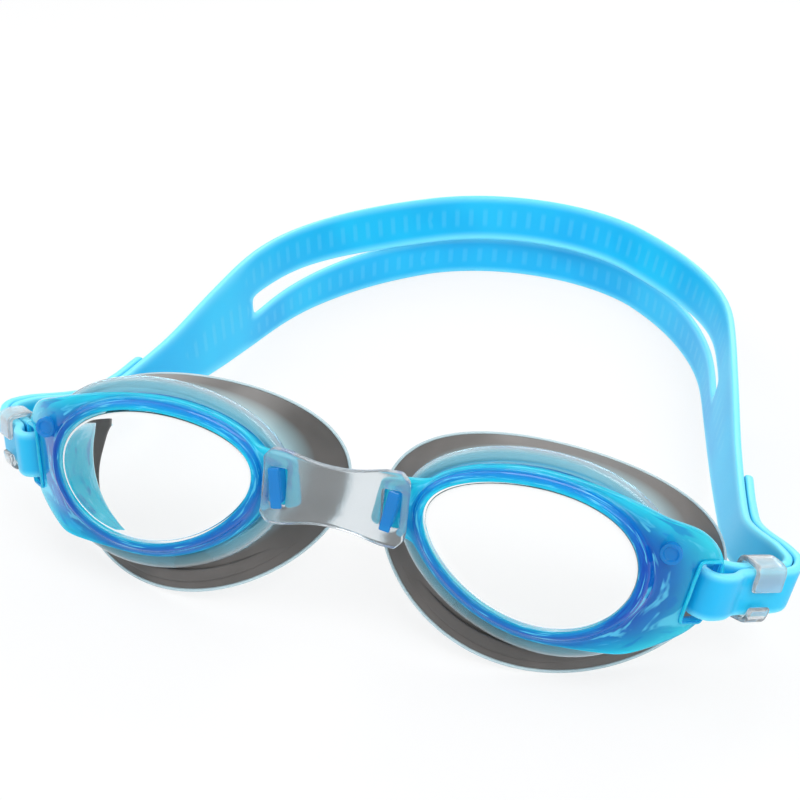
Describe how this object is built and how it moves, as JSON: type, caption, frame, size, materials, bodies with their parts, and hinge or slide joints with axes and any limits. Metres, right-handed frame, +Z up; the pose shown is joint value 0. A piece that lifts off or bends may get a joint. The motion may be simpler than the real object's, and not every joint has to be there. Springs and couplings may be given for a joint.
{
  "type": "swim goggles",
  "caption": "Swim goggles with clear windows in blue oval cups, a soft nose bridge, flaring face seals and a split silicone head strap held by clear clips.",
  "frame": {"origin": "middle of the bounding box on the table plane that the goggles rest on", "axes": "+Z up, the lenses face -Y, +X to the right seen from the front, the strap's loop runs back along +Y"},
  "size_m": [0.175, 0.2308, 0.0464],
  "materials": {
    "window_polycarbonate": "clear moulded polycarbonate, polished",
    "blue_polycarbonate": "transparent blue moulded polycarbonate, polished",
    "clear_elastomer": "clear moulded thermoplastic elastomer, glossy",
    "clear_silicone": "clear moulded silicone, satin",
    "smoke_silicone": "smoke-grey moulded silicone, satin",
    "blue_silicone": "translucent light-blue moulded silicone, satin",
    "clear_polycarbonate": "clear moulded polycarbonate, polished"
  },
  "bodies": {
    "eyecups": {"left_lens_window": "window_polycarbonate", "right_lens_window": "window_polycarbonate", "left_lens_cup": "blue_polycarbonate", "right_lens_cup": "blue_polycarbonate", "left_eye_frame": "clear_elastomer", "right_eye_frame": "clear_elastomer", "left_seal_skirt": "smoke_silicone", "right_seal_skirt": "smoke_silicone", "nose_bridge": "clear_silicone"},
    "strap": {"head_strap": "blue_silicone"},
    "left_clip": {"left_strap_clip": "clear_polycarbonate"},
    "right_clip": {"right_strap_clip": "clear_polycarbonate"}
  },
  "joints": [
    {"name": "strap_swing", "type": "hinge", "parent": "eyecups", "child": "strap", "pos_m": [0, -0.09875, 0.02204], "axis": [1, 0, 0], "range_deg": [-6, 6]},
    {"name": "left_clip_slide", "type": "slide", "parent": "strap", "child": "left_clip", "axis": [-0.7223, 0.6594, -0.2082], "range_m": [-0.002, 0.001]},
    {"name": "right_clip_slide", "type": "slide", "parent": "strap", "child": "right_clip", "axis": [0.7223, 0.6594, -0.2082], "range_m": [-0.002, 0.001]}
  ]
}
